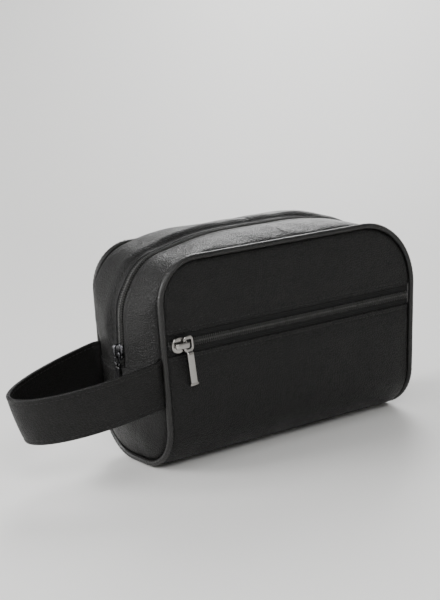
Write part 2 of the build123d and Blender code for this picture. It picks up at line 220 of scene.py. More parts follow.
def two_tone(start, share, colour, dark, light):
    """A colour that goes from its dark shade to its light shade as share goes from 0 to 1."""
    mixed = {0: share, 6: shaded(colour, dark), 7: shaded(colour, light)}
    return start.node("Mix", {"data_type": "RGBA"}, mixed, output=2)


def woven_finish(name, colour, pitch, roughness):
    """Plain weave: two crossed sine waves a thread apart make the height, and the hollows are darker with
    painted shade.
    """
    finish, shader, start = new_finish(name, colour, roughness, specular=0.25)
    place = start.node("TexCoord", output=3)
    x = start.node("SeparateXYZ", inputs={"Vector": place}, output=0)
    y = start.node("SeparateXYZ", inputs={"Vector": place}, output=1)
    z = start.node("SeparateXYZ", inputs={"Vector": place}, output=2)
    turn = 2 * math.pi / pitch
    height = start.maths("SINE", (x + y) * turn) * start.maths("SINE", (z + y * 0.4) * turn) * 0.5 + 0.5
    speck = start.node("TexNoise", inputs={"Vector": place, "Scale": 900.0, "Detail": 3.0})
    # Painted shade: the colour darkens in the weave's hollows, with random specks over it.
    feed(shader, "Base Color", two_tone(start, height * 0.6 + speck * 0.4, colour, 0.5, 1.4))
    relief = {"Height": height, "Strength": 0.6, "Distance": pitch * 0.3}
    feed(shader, "Normal", start.node("Bump", inputs=relief))
    return finish


def dress(node, finish):
    """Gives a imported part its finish."""
    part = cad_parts[node]
    part.data.materials.clear()
    part.data.materials.append(finish)


lining_finish = woven_finish("lining_cloth", LINING_COLOUR, CLOTH_PITCH, 0.75)
binding_finish = woven_finish("binding_tape", BINDING_COLOUR, CLOTH_PITCH * 1.4, 0.8)
board_finish = woven_finish("stiffener_board", BOARD_COLOUR, CLOTH_PITCH * 3, 0.85)
for lined in ("wrap", "gusset_front", "gusset_rear", "left_end", "right_end", "pocket"):
    dress(lined + "_lining", lining_finish)
for side in ("front", "rear"):
    dress(side + "_seam_binding", binding_finish)
dress("bottom_stiffener", board_finish)

# ------------------------------------------------------------------------------------- front and wrap
# One piece of satin black leather with a fine pebble grain makes the front below the pocket zip, the bottom
# and the back, and a second makes the front above the zip. Both are folded and sewn down along the zip. Their
# other edges are pulled into the piped seam, which leaves a groove beside the piping.
# From here on, sizes are millimetres, and make_piece turns them into metres.
MM = 0.001
LEATHER_COLOUR = (0.0075, 0.0074, 0.0072)
GRAIN = 0.0018
FACE_Y = 43.5
BOTTOM_ROUND = 35.0
BOTTOM_HALF = FACE_Y - BOTTOM_ROUND
SEAM_LOW = 2.5
SEAM_TOP = 158.5
SEAM_HALF_LOW = 118.5
SEAM_LEAN = 6.0 / (SEAM_TOP - SEAM_LOW)
SEAM_STRETCH = math.hypot(1, SEAM_LEAN)
CORNER_LEFT = 31.0
CORNER_RIGHT = 52.0
POCKET_ZIP_Z = 97.0
POCKET_WINDOW = 8.5
HEM = 1.5
TUCK = 3.4
TUCK_REACH = 3.1
SWELL = 1.4
STITCH_IN = 2.5
STITCH_GROOVE = 0.42


def leather_finish(name, colour, grain, relief=1.0, roughness=0.38, specular=0.20):
    """Pebble grain: rounded cells with creases between them, over fine pores and broad patches of sheen, with
    painted shade in the creases.
    """
    finish, shader, start = new_finish(name, colour, roughness, specular=specular)
    place = start.node("TexCoord", output=3)
    drift = start.node("TexNoise", inputs={"Vector": place, "Scale": 420.0, "Detail": 2.0}, output=1)
    shift = start.node("VectorMath", {"operation": "SCALE"}, {0: drift, "Scale": grain * 0.55})
    bent = start.node("VectorMath", {"operation": "ADD"}, {0: place, 1: shift})
    cell_sizes = {"Vector": bent, "Scale": 1 / grain, "Randomness": 0.9}
    cells = start.node("TexVoronoi", {"feature": "DISTANCE_TO_EDGE"}, cell_sizes)
    rounded = {"Value": cells, "From Max": 0.28}
    pebble = start.node("MapRange", {"interpolation_type": "SMOOTHSTEP"}, rounded)
    pores = start.node("TexNoise", inputs={"Vector": place, "Scale": 3800.0, "Detail": 2.0})
    patch_sizes = {"Vector": place, "Scale": 140.0, "Detail": 4.0, "Roughness": 0.72}
    patches = start.node("TexNoise", inputs=patch_sizes)
    clouds = start.node("TexNoise", inputs={"Vector": place, "Scale": 26.0, "Detail": 2.0})
    height = pebble * 0.8 + pores * 0.25 + patches * 2.2
    bumps = {"Height": height, "Strength": 0.9 * relief, "Distance": grain * 0.21}
    feed(shader, "Normal", start.node("Bump", inputs=bumps))
    # Painted shade and light: the colour is darker in the creases between the cells and lighter on their
    # tops; the broad patches add random tone.
    feed(shader, "Base Color", two_tone(start, pebble * 0.45 + patches * 0.55, colour, 0.5, 1.5))
    uneven = patches * 0.20 + clouds * 0.24 + pores * 0.12 - pebble * 0.10
    feed(shader, "Roughness", uneven + (roughness - 0.19))
    return finish


leather = leather_finish("satin_leather", LEATHER_COLOUR, GRAIN)


def tube_faces(rings, around):
    """Quads of rings of points joined one to the next, with both end rings closed across their middle."""
    index = np.arange(rings * around).reshape(rings, around)
    following = np.roll(index, -1, axis=1)
    walls = np.stack([index[:-1], following[:-1], following[1:], index[1:]], axis=-1).reshape(-1, 4)
    near = np.arange(around // 2 - 1)
    zip_up = np.stack([near, near + 1, around - 2 - near, around - 1 - near], axis=-1)
    last = zip_up + (rings - 1) * around
    return np.concatenate([walls, zip_up[:, ::-1], last])


def hoop_faces(rings, around):
    """Quads of rings of points joined one to the next and the last to the first."""
    index = np.arange(rings * around).reshape(rings, around)
    beside = np.roll(index, -1, axis=1)
    following = np.roll(index, -1, axis=0)
    corner = np.roll(beside, -1, axis=0)
    return np.stack([index, beside, corner, following], axis=-1).reshape(-1, 4)


def repeated(faces, points_each, count):
    """The same faces for each of a row of like shapes."""
    return (faces[None] + points_each * np.arange(count)[:, None, None]).reshape(-1, 4)


def make_piece(name, parts, finish, body="bag", stands_for=()):
    """One piece from pairs of points in millimetres and quads, with its faces turned outwards."""
    counts = np.cumsum([0] + [points.size // 3 for points, quads in parts])
    points = np.concatenate([points.reshape(-1, 3) for points, quads in parts]) * MM
    quads = np.concatenate([part[1] + first for part, first in zip(parts, counts)])
    mesh = bpy.data.meshes.new(name)
    mesh.vertices.add(len(points))
    mesh.vertices.foreach_set("co", points.astype(np.float32).ravel())
    mesh.loops.add(quads.size)
    mesh.loops.foreach_set("vertex_index", quads.astype(np.int32).ravel())
    mesh.polygons.add(len(quads))
    mesh.polygons.foreach_set("loop_start", np.arange(0, quads.size, 4, dtype=np.int32))
    mesh.update(calc_edges=True)
    turned = bmesh.new()
    turned.from_mesh(mesh)
    bmesh.ops.recalc_face_normals(turned, faces=turned.faces[:])
    turned.to_mesh(mesh)
    turned.free()
    mesh.shade_smooth()
    mesh.materials.append(finish)
    piece = bpy.data.objects.new(name, mesh)
    bpy.context.scene.collection.objects.link(piece)
    if body:
        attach(piece, body)
    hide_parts(*stands_for)
    return piece


def smooth(share):
    """The soft step from 0 to 1."""
    share = np.clip(share, 0, 1)
    return share * share * (3 - 2 * share)


def unit(vectors):
    """Vectors made one long."""
    return vectors / np.maximum(np.linalg.norm(vectors, axis=-1, keepdims=True), 1e-12)


def graded(start, end, step, fine_start=None, fine_end=None, growth=0.22):
    """Stations from start to end, a step apart, and finer towards an end that asks for it. The steps grow
    evenly with the distance from that end, and the stations are even shares of their running total."""
    far = abs(end - start)
    along = np.linspace(0, far, 4001)
    wanted = np.full(along.shape, float(step))
    if fine_start:
        wanted = np.minimum(wanted, fine_start + growth * along)
    if fine_end:
        wanted = np.minimum(wanted, fine_end + growth * (far - along))
    total = np.concatenate([[0], np.cumsum((1 / wanted[1:] + 1 / wanted[:-1]) / 2 * np.diff(along))])
    count = int(round(total[-1])) + 1
    chosen = np.interp(np.linspace(0, total[-1], count + 1), total, along)
    return start + (end - start) * chosen / far


def corner_middle(x):
    """Radius of the seam's top corner on that side, and the middle of its round."""
    radius = np.where(x < 0, CORNER_LEFT, CORNER_RIGHT)
    z = SEAM_TOP - radius
    return radius, SEAM_HALF_LOW + SEAM_LEAN * (z - SEAM_LOW) - radius * SEAM_STRETCH, z


def seam_limit(z, side):
    """How far out the seam is at height z on one side: a leaning line, then the corner's round."""
    radius, middle_x, middle_z = corner_middle(side * np.ones(z.shape))
    z = np.maximum(z, SEAM_LOW)
    line = SEAM_HALF_LOW + SEAM_LEAN * (z - SEAM_LOW)
    turn = middle_x + np.sqrt(np.maximum(radius**2 - (z - middle_z) ** 2, 0))
    return side * np.where(z < middle_z - radius * SEAM_LEAN / SEAM_STRETCH, line, turn)


def seam_distance(x, z):
    """How far in from the seam a point is: from the side's line, the top line or the round between them."""
    radius, middle_x, middle_z = corner_middle(x)
    z = np.maximum(z, SEAM_LOW)
    side = (SEAM_HALF_LOW + SEAM_LEAN * (z - SEAM_LOW) - np.abs(x)) / SEAM_STRETCH
    turn = radius - np.hypot(np.abs(x) - middle_x, z - middle_z)
    in_corner = (np.abs(x) > middle_x) & (z > middle_z)
    return np.maximum(np.where(in_corner, turn, np.minimum(side, SEAM_TOP - z)), 0)


def drawn_in(distance):
    """How far the leather is pulled in at that distance from a piped seam: a bell curve."""
    return TUCK * np.exp(-((distance / TUCK_REACH) ** 2))


def soft_waves(a, b):
    """Slow waves of hand-worked leather, about one high: crossed sine waves of unlike lengths."""
    waves = np.sin(0.041 * a + 0.017 * b + 0.6) + 0.7 * np.sin(0.083 * a - 0.036 * b + 2.1)
    waves = waves + 0.55 * np.sin(0.131 * a + 0.092 * b + 4.0) + 0.4 * np.sin(0.023 * a - 0.149 * b + 1.2)
    return waves / 2.2


def face_dip(x, z, calm=1.0, wave=0.4):
    """How far in the leather of the front or back lies: drawn in at the seam, with a slight swell and waves
    further in. Calm, from 0 to 1, quietens the swell beside an edge that is sewn flat."""
    distance = seam_distance(x, z)
    lively = smooth(distance / 22) * calm * smooth((z - 3) / 30)
    return drawn_in(distance) - lively * (SWELL + wave * soft_waves(x, z))


def zip_calm(z):
    """Quiet beside the pocket zip: 0 at the window's edge, 1 from 16 mm away."""
    return smooth((np.abs(z - POCKET_ZIP_Z) - POCKET_WINDOW) / 16)


def stitch_dip(distance):
    """The narrow groove that a row of stitches pulls at its distance from an edge."""
    return STITCH_GROOVE * np.exp(-(((distance - STITCH_IN) / 0.55) ** 2))


def hemmed(outer, inward, thickness=HEM, nose=6):
    """Closed section of a hemmed panel. The rows of outer run from the seam to the hem. A half circle turns
    the hem, and the same rows run back, moved inward by the thickness."""
    half = thickness / 2
    angle = (np.arange(nose) + 1) * np.pi / (nose + 1)
    middle = outer[-1] + inward[-1] * half
    ahead = unit(outer[-1] - outer[-2])
    turned = middle - inward[-1] * half * np.cos(angle)[:, None, None]
    turned = turned + ahead * half * np.sin(angle)[:, None, None]
    loop = np.concatenate([outer, turned, (outer + inward * thickness)[::-1]])
    return loop.transpose(1, 0, 2), tube_faces(loop.shape[1], loop.shape[0])


def face_grid(path_y, path_z, inward_y, inward_z, move):
    """Points and inward ways of a panel whose rows follow a line in the Y-Z plane, each from seam to seam."""
    shares = graded(0, 240, 3.0, 0.45, 0.45) / 240
    left = seam_limit(path_z, -1)[:, None]
    x = left + (seam_limit(path_z, 1)[:, None] - left) * shares
    z = np.broadcast_to(path_z[:, None], x.shape)
    dip = move(x, z)
    outer = np.stack([x, path_y[:, None] + inward_y[:, None] * dip, z + inward_z[:, None] * dip], axis=2)
    ways = np.stack([np.zeros(path_y.shape), inward_y, inward_z], axis=1)[:, None, :]
    return outer, np.broadcast_to(ways, outer.shape)


def make_wrap():
    """Back, bottom and front below the zip. The line runs down the back, round two quarter circles with a
    flat strip between them, and up the front to the hem."""
    hem_z = POCKET_ZIP_Z - POCKET_WINDOW
    back = graded(SEAM_TOP, BOTTOM_ROUND, 2.6, 0.25)
    turn = np.linspace(0, np.pi / 2, 26)[1:-1]
    under = np.linspace(BOTTOM_HALF, -BOTTOM_HALF, 8)
    front = graded(BOTTOM_ROUND, hem_z, 2.4, None, 0.2)
    low = BOTTOM_ROUND * (1 - np.sin(turn))
    path_y = np.concatenate(
        [
            np.full(back.shape, FACE_Y),
            BOTTOM_HALF + BOTTOM_ROUND * np.cos(turn),
            under,
            -BOTTOM_HALF - BOTTOM_ROUND * np.cos(turn[::-1]),
            np.full(front.shape, -FACE_Y),
        ]
    )
    path_z = np.concatenate([back, low, np.zeros(under.shape), low[::-1], front])
    inward_y = -np.clip((np.abs(path_y) - BOTTOM_HALF) / BOTTOM_ROUND, 0, 1) * np.sign(path_y)
    inward_z = np.sqrt(1 - inward_y**2)
    at_front = (path_y < -BOTTOM_HALF)[:, None]

    def move(x, z):
        near_hem = hem_z - z
        flat = np.where(at_front, zip_calm(z), 1)
        return face_dip(x, z, flat) + np.where(at_front, stitch_dip(near_hem), 0)

    section = hemmed(*face_grid(path_y, path_z, inward_y, inward_z, move))
    make_piece("wrap_panel_leather", [section], leather, stands_for=["wrap_panel"])


def make_front_upper():
    """Front above the zip, from the seam along its top down to the hem."""
    hem_z = POCKET_ZIP_Z + POCKET_WINDOW
    path_z = graded(SEAM_TOP, hem_z, 2.2, 0.25, 0.2)
    even = np.ones(path_z.shape)

    def move(x, z):
        return face_dip(x, z, zip_calm(z)) + stitch_dip(z - hem_z)

    section = hemmed(*face_grid(-FACE_Y * even, path_z, even, 0 * even, move))
    make_piece("front_upper_leather", [section], leather, stands_for=["front_upper_panel"])


make_wrap()
make_front_upper()

# ---------------------------------------------------------------------------------------------- gusset
# Two strips of the same leather run up the left end, over the top and down the right end, one each side of
# the main zip. They are folded and sewn down along the zip, and crown outwards between the piped seams.
SEWN_AT = 44.0
PIPING_Y = 42.3
MAIN_WINDOW = 5.2
STRIP_LOW = 71.0
REAR_FULL = 3.2
SEAM_CORNERS = [(-119.6, 34), (-123.7, 136), (-115.4, 150.4), (-100.9, 158.5)]
SEAM_CORNERS += [(85, 158.5), (108.7, 143.6), (122.3, 119.4), (119.6, 34)]
SEAM_ROUNDS = [0, 29, 29, 29, 50, 50, 50, 0]
CROWN_CORNERS = [(-132.6, 34), (-130.8, 124), (-113, 154), (-52, 166)]
CROWN_CORNERS += [(45, 166), (106, 150), (130.5, 112), (132, 34)]
CROWN_ROUNDS = [0, 40, 38, 200, 200, 55, 60, 0]
STRIP_RUNS = [26, 4, 8, 60, 6, 6, 24]
STRIP_TURNS = [14, 14, 14, 14, 14, 14]


def rounded_line(corners, rounds, runs, turns):
    """Points along a line whose corners are rounded. The straight runs stop short of a corner by its radius
    times the tangent of half the turn, and each arc is a rational curve with the corner as its middle point,
    weighted by the cosine of half the turn. Runs and turns give the steps in each."""
    way = unit(np.diff(corners, axis=-2))
    half_turn = np.arccos(np.clip((way[..., :-1, :] * way[..., 1:, :]).sum(-1), -1, 1)) / 2
    reach = (rounds[..., 1:-1] * np.tan(half_turn))[..., None]
    corner = corners[..., 1:-1, :]
    before = corner - way[..., :-1, :] * reach
    after = corner + way[..., 1:, :] * reach
    begins = np.concatenate([corners[..., :1, :], after], axis=-2)
    ends = np.concatenate([before, corners[..., -1:, :]], axis=-2)
    parts = []
    for number, steps in enumerate(runs):
        share = np.arange(steps + (number == len(turns)))[:, None] / steps
        parts.append(begins[..., number, None, :] * (1 - share) + ends[..., number, None, :] * share)
        if number < len(turns):
            share = np.arange(turns[number])[:, None] / turns[number]
            middle = 2 * share * (1 - share) * np.cos(half_turn[..., number, None, None])
            total = (1 - share) ** 2 + middle + share**2
            bent = before[..., number, None, :] * (1 - share) ** 2 + after[..., number, None, :] * share**2
            parts.append((bent + corner[..., number, None, :] * middle) / total)
    return np.concatenate(parts, axis=-2)


def crown_share(y):
    """How far the outline has gone from the seam's to the crown's at depth y: a parabola."""
    return 1 - (y / SEWN_AT) ** 2


def strip_outlines(y):
    """For each depth y, the X-Z points of the gusset's outline, from left over the top to the right."""
    share = crown_share(y)[:, None, None]
    corners = np.array(SEAM_CORNERS) * (1 - share) + np.array(CROWN_CORNERS) * share
    for end, inner in ((0, 1), (-1, -2)):
        step = (STRIP_LOW - corners[:, end, 1]) / (corners[:, inner, 1] - corners[:, end, 1])
        corners[:, end] += (corners[:, inner] - corners[:, end]) * step[:, None]
    rounds = np.array(SEAM_ROUNDS) * (1 - share[..., 0]) + np.array(CROWN_ROUNDS) * share[..., 0]
    return rounded_line(corners, rounds, STRIP_RUNS, STRIP_TURNS)


def strip_surface(y):
    """Points (depths, along, 3) of the gusset's bare outline, and the unit ways out of it."""
    flat = strip_outlines(y)
    points = np.stack([flat[..., 0], np.broadcast_to(y[:, None], flat.shape[:2]), flat[..., 1]], axis=2)
    out = unit(np.cross(np.gradient(points, axis=1), np.gradient(points, axis=0)))
    away = points - np.array([0, 0, 60.0])
    return points, out * np.sign((out * away).sum(-1, keepdims=True))


def strip_dip(points):
    """How far in the gusset's leather lies: drawn in at the seam and in the stitch groove, with slow waves.
    The rear strip stands fuller than the front one."""
    depth = np.abs(points[..., 1])
    seam = PIPING_Y - depth
    lively = smooth(seam / 14) * smooth((depth - MAIN_WINDOW) / 8)
    along = points[..., 0] + points[..., 2] * np.sign(points[..., 0])
    waves = 0.75 * soft_waves(along * 1.5, 55 * np.sign(points[..., 1]) + points[..., 1] * 1.6)
    full = REAR_FULL * (points[..., 1] > 0) * smooth(seam / 9) * smooth((points[..., 2] - 85) / 25)
    full = full * smooth((depth - MAIN_WINDOW) / 8)
    return drawn_in(seam) + stitch_dip(depth - MAIN_WINDOW) - lively * (0.7 + waves) - full


def make_strip(side, name):
    """One strip, from the seam to the hem beside the zip. Side is -1 at the front and 1 at the rear."""
    y = side * graded(PIPING_Y, MAIN_WINDOW, 2.0, 0.4, 0.2)
    points, out = strip_surface(y)
    outer = points - out * strip_dip(points)[..., None]
    section = hemmed(outer, -out)
    make_piece(f"gusset_{name}_leather", [section], leather, stands_for=[f"gusset_{name}_strip"])


make_strip(-1, "front")
make_strip(1, "rear")

# ---------------------------------------------------------------------------------------- end panels
# Each end below the zip is one panel, sewn into both piped seams and under the bottom. Its top edge is folded
# and sewn down over the ends of the gusset strips and the zip.
END_TOP = 76.5
END_LOW = 2.5
END_ROUND = 34.0
END_FLAT = PIPING_Y - END_ROUND
END_BEND = 13.5
END_LAP = 1.3
END_LEFT = [(-115.6, -5), (-119.6, 34), (-123.7, 136)], [(-115, -5), (-132.6, 34), (-130.8, 124)]
END_RIGHT = [(115.6, -5), (119.6, 34), (122.3, 119.4)], [(115, -5), (132, 34), (130.5, 112)]


def end_reach(y, z, corners):
    """X of an end at depth y and height z. Two lines meet at the middle corner, mixed from the seam's to the
    crown's by the parabola, and the bend between them is a short parabola."""
    share = crown_share(y)
    seam, crown = (np.array(c, float) for c in corners)
    low, middle, high = ((seam[k] * (1 - share[..., None]) + crown[k] * share[..., None]) for k in range(3))
    upper_slope = (high[..., 0] - middle[..., 0]) / (high[..., 1] - middle[..., 1])
    lower_slope = (middle[..., 0] - low[..., 0]) / (middle[..., 1] - low[..., 1])
    below = np.clip(middle[..., 1] - z, -END_BEND, None)
    ramp = np.where(below < END_BEND, (below + END_BEND) ** 2 / (4 * END_BEND), below)
    return middle[..., 0] + upper_slope * (z - middle[..., 1]) + (upper_slope - lower_slope) * ramp


def end_width(z):
    """Half the width of an end at height z: upright seams, then a round down to the bottom."""
    down = np.maximum(END_LOW + END_ROUND - z, 0)
    return END_FLAT + np.sqrt(np.maximum(END_ROUND**2 - down**2, 0))


def end_surface(side, y, z):
    """Points of an end panel at depths y and heights z, drawn in at the seams and lifted at its top edge."""
    down = np.maximum(END_LOW + END_ROUND - z, 0)
    seam = np.maximum(END_ROUND - np.hypot(np.maximum(np.abs(y) - END_FLAT, 0), down), 0)
    seam = np.where(down > 0, seam, PIPING_Y - np.abs(y))
    lively = smooth(seam / 14) * smooth((END_TOP - z) / 14)
    lift = END_LAP * smooth((z - END_TOP + 14) / 12) * smooth(seam / 6)
    waves = 0.8 * soft_waves(y * 2.2 + 40 * side, z * 1.1)
    dip = drawn_in(seam) + stitch_dip(END_TOP - z) - lively * (0.6 + waves) - lift
    x = end_reach(y, z, END_LEFT if side < 0 else END_RIGHT)
    return np.stack([x - side * dip, y, z], axis=2)


def make_end(side, name):
    """An end panel, from the bottom seam up to its hem. Side is -1 on the left and 1 on the right."""
    z = graded(END_LOW, END_TOP, 2.0, 0.3, 0.2)
    shares = graded(-1, 1, 0.05, 0.012, 0.012)
    y = end_width(z)[:, None] * shares
    outer = end_surface(side, y, np.broadcast_to(z[:, None], y.shape))
    inward = np.broadcast_to(np.array([-side, 0.0, 0.0]), outer.shape)
    section = hemmed(outer, inward)
    make_piece(f"{name}_end_leather", [section], leather, stands_for=[f"{name}_end_panel"])


make_end(-1, "left")
make_end(1, "right")

# ---------------------------------------------------------------------------------------------- piping
# A cord covered in thin leather is sewn into the seam round the front and another round the back. Each runs
# down both ends and under them to the middle, and its cover wrinkles a little where it bends.
PIPING_COLOUR = (0.011, 0.0108, 0.0105)
PIPING_RADIUS = 2.2
PIPING_GAP = 0.15
PIPING_TOP_HALF = SEAM_HALF_LOW + SEAM_LEAN * (SEAM_TOP - SEAM_LOW)
PIPING_GLOSS = {"relief": 0.45, "roughness": 0.30, "specular": 0.38}
piping_finish = leather_finish("piping_leather", PIPING_COLOUR, GRAIN * 0.8, **PIPING_GLOSS)


def piping_line(side):
    """Middle line of the piping on one side of the bag, rounded at its four corners."""
    corners = [
        (-SEAM_HALF_LOW, side * PIPING_GAP, SEAM_LOW),
        (-SEAM_HALF_LOW, side * PIPING_Y, SEAM_LOW),
        (-PIPING_TOP_HALF, side * PIPING_Y, SEAM_TOP),
        (PIPING_TOP_HALF, side * PIPING_Y, SEAM_TOP),
        (SEAM_HALF_LOW, side * PIPING_Y, SEAM_LOW),
        (SEAM_HALF_LOW, side * PIPING_GAP, SEAM_LOW),
    ]
    rounds = np.array([0, END_ROUND, CORNER_LEFT, CORNER_RIGHT, END_ROUND, 0])
    return rounded_line(np.array(corners), rounds, [8, 60, 100, 60, 8], [60, 60, 90, 60])


def swept(line, across, half_width, half_depth, around=16, power=2.0):
    """A section carried along a line. The section is a superellipse of that power, with its width along
    across and its depth along the remaining way. Half width and half depth may change along the line."""
    ahead = unit(np.gradient(line, axis=-2))
    across = unit(across - ahead * (across * ahead).sum(-1, keepdims=True))
    depth = np.cross(ahead, across)
    angle = (np.arange(around) + 0.5) * 2 * np.pi / around
    wide = np.sign(np.cos(angle)) * np.abs(np.cos(angle)) ** (2 / power)
    deep = np.sign(np.sin(angle)) * np.abs(np.sin(angle)) ** (2 / power)
    half_width = np.broadcast_to(half_width, line.shape[:-1])[..., None, None]
    half_depth = np.broadcast_to(half_depth, line.shape[:-1])[..., None, None]
    ring = across[..., None, :] * half_width * wide[:, None]
    ring = ring + depth[..., None, :] * half_depth * deep[:, None]
    return line[..., None, :] + ring


def run_length(line):
    """Distance along a line of points."""
    return np.concatenate([[0], np.cumsum(np.linalg.norm(np.diff(line, axis=0), axis=1))])


def make_piping(side, name):
    """A round tube along the seam, with shallow rings across it where the line turns."""
    line = piping_line(side)
    far = run_length(line)
    ahead = unit(np.gradient(line, axis=0))
    turning = np.linalg.norm(np.gradient(ahead, axis=0), axis=1) / np.gradient(far)
    bent = smooth(turning * 30)
    wrinkle = 0.05 * bent * np.sin(far * 2.1 + 1.3 * np.sin(far * 0.37))
    radius = PIPING_RADIUS * (1 + wrinkle - 0.02 * np.sin(far * 0.21))
    points = swept(line, np.array([1.0, 1.0, 1.0]), radius, radius)
    tube = points, tube_faces(*points.shape[:2])
    stands_for = [f"{name}_piping"]
    make_piece(f"{name}_piping_cord", [tube], piping_finish, stands_for=stands_for)


make_piping(-1, "front")
make_piping(1, "rear")

# ---------------------------------------------------------------------------------------- zip tapes
# Each zip has two woven black tapes with fine ribs along them. The pocket's are sewn behind the hems of the
# front panels, and the main zip's behind the hems of the gusset strips, down to behind the end panels.
TAPE_COLOUR = (0.0055, 0.0055, 0.0055)
TAPE_PITCH = 0.00062
TAPE_IN = 1.6
TAPE_THICK = 0.6
TAPE_NEAR = 0.7
POCKET_TAPE_HALF = 13.5
MAIN_TAPE_HALF = 10.5
RIB_PITCH = 1.45
RIB_HEIGHT = 0.22
tape_finish = woven_finish("zip_tape", TAPE_COLOUR, TAPE_PITCH, 0.62)


def rib(distance):
    """Ribs along a tape, as a height over its distance from the middle of the zip: rounded sine waves."""
    return RIB_HEIGHT * np.abs(np.sin(np.pi * distance / RIB_PITCH)) ** 0.7


def face_points(x, z, depth):
    """Points on the front at a depth behind its outline, following the leather where the seam draws it in."""
    return np.stack([x, -FACE_Y + drawn_in(seam_distance(x, z)) + depth, z], axis=2)


def make_pocket_tape(side, name):
    """A tape of the pocket zip. Side is -1 for the lower and 1 for the upper."""
    out = graded(TAPE_NEAR, POCKET_TAPE_HALF, 0.18)
    x = graded(-119.0, 119.0, 2.5, 0.6, 0.6)
    x, z = np.meshgrid(x, POCKET_ZIP_Z + side * out)
    front = face_points(x, z, TAPE_IN - rib(out)[:, None])
    back = face_points(x, z, TAPE_IN + TAPE_THICK)
    loop = np.concatenate([front, back[::-1]]).transpose(1, 0, 2)
    solid = loop, tube_faces(*loop.shape[:2])
    stands_for = [f"pocket_{name}_tape"]
    make_piece(f"pocket_{name}_ribbed_tape", [solid], tape_finish, stands_for=stands_for)


def make_main_tape(side, name):
    """A tape of the main zip. Side is -1 for the front one and 1 for the rear one."""
    out = graded(TAPE_NEAR, MAIN_TAPE_HALF, 0.18)
    points, ways = strip_surface(side * out)
    front = points - ways * (TAPE_IN - rib(out))[:, None, None]
    back = points - ways * (TAPE_IN + TAPE_THICK)
    loop = np.concatenate([front, back[::-1]]).transpose(1, 0, 2)
    solid = loop, tube_faces(*loop.shape[:2])
    stands_for = [f"main_{name}_tape"]
    make_piece(f"main_{name}_ribbed_tape", [solid], tape_finish, stands_for=stands_for)


make_pocket_tape(1, "upper")
make_pocket_tape(-1, "lower")
make_main_tape(-1, "front")
make_main_tape(1, "rear")

# ---------------------------------------------------------------------------------------- zip coils
# A coil of black nylon is sewn along the edge of each tape, and the turns of the two coils of a zip mesh.
# Two rows of thread hold each coil down.
COIL_COLOUR = (0.050, 0.050, 0.047)
COIL_PITCH = 1.9
COIL_WIRE = 0.40
COIL_SAMPLES = 10
COIL_SIDES = 5
COIL_REACH = (-0.42, 2.75)
COIL_OUT = -0.55
COIL_HIGH = 0.72
THREAD_COLOUR = (0.009, 0.009, 0.0092)
THREAD_ROWS = (1.25, 2.1)
THREAD_RADIUS = 0.17


def plain_finish(name, colour, roughness, grain, metallic=0.0, specular=0.5, relief=0.15, distance=0.00008):
    """An even hard finish with a little unevenness: noise that varies its roughness and its surface."""
    finish, shader, start = new_finish(name, colour, roughness, metallic, specular)
    place = start.node("TexCoord", output=3)
    fine = start.node("TexNoise", inputs={"Vector": place, "Scale": grain, "Detail": 4.0})
    broad = start.node("TexNoise", inputs={"Vector": place, "Scale": grain / 9, "Detail": 3.0})
    feed(shader, "Roughness", fine * (roughness * 0.5) + broad * (roughness * 0.6) + roughness * 0.45)
    feed(shader, "Base Color", two_tone(start, broad, colour, 0.82, 1.12))
    bumps = {"Height": fine, "Strength": relief, "Distance": distance}
    feed(shader, "Normal", start.node("Bump", inputs=bumps))
    return finish


coil_finish = plain_finish("coil_nylon", COIL_COLOUR, 0.30, 2600.0, relief=0.3)
thread_finish = plain_finish("sewing_thread", THREAD_COLOUR, 0.55, 6000.0, relief=0.9, distance=0.0002)


def read_line(line, stations):
    """Points at distances along a line of points, read between its own points."""
    far = run_length(line)
    return np.stack([np.interp(stations, far, line[:, k]) for k in range(3)], axis=-1)


def read_ways(line, ways, stations):
    """Unit ways at distances along a line of points, read between those given at its own points."""
    far = run_length(line)
    return unit(np.stack([np.interp(stations, far, ways[:, k]) for k in range(3)], axis=-1))


def coil(line, out, side_way, side, late):
    """Flattened helix beside a line. Its middle runs at half its reach, its half height is out of the face,
    and late shifts it by part of a turn, so that two coils mesh."""
    far = run_length(line)
    turns = int((far[-1] - COIL_PITCH) / COIL_PITCH)
    angle = np.arange(turns * COIL_SAMPLES + 1) * 2 * np.pi / COIL_SAMPLES
    stations = COIL_PITCH * (angle / (2 * np.pi) + late)
    middle, out = read_line(line, stations), read_ways(line, out, stations)
    near, wide = COIL_REACH
    beside = (near + wide) / 2 + (near - wide) / 2 * np.cos(angle)
    high = COIL_OUT + COIL_HIGH * np.sin(angle)
    wire = middle + side_way * (side * beside)[:, None] + out * high[:, None]
    ahead = unit(np.gradient(wire, axis=0))
    points = swept(wire, unit(np.cross(ahead, side_way + out)), COIL_WIRE, COIL_WIRE, COIL_SIDES + 1)
    return points, tube_faces(*points.shape[:2])


def thread(line, out, side_way, side, row):
    """A row of thread over the turns of a coil: it rises over each turn and dips between them."""
    far = run_length(line)
    stations = np.arange(0, far[-1], COIL_PITCH / 4)
    middle, out = read_line(line, stations), read_ways(line, out, stations)
    high = COIL_OUT + COIL_HIGH * 0.96 + COIL_WIRE + 0.10 * np.cos(2 * np.pi * stations / COIL_PITCH)
    path = middle + side_way * side * row + out * high[:, None]
    points = swept(path, side_way, THREAD_RADIUS, THREAD_RADIUS, 6)
    return points, tube_faces(*points.shape[:2])


def make_zip_chain(name, halves, line, out, side_way):
    """Both coils of a zip and the threads that hold them."""
    for side, half in halves:
        late = 0.25 if side > 0 else 0.75
        made = coil(line, out, side_way, side, late)
        stands_for = [f"{name}_{half}_coil"]
        make_piece(f"{name}_{half}_nylon_coil", [made], coil_finish, stands_for=stands_for)
        rows = [thread(line, out, side_way, side, row) for row in THREAD_ROWS]
        make_piece(f"{name}_{half}_coil_threads", rows, thread_finish)


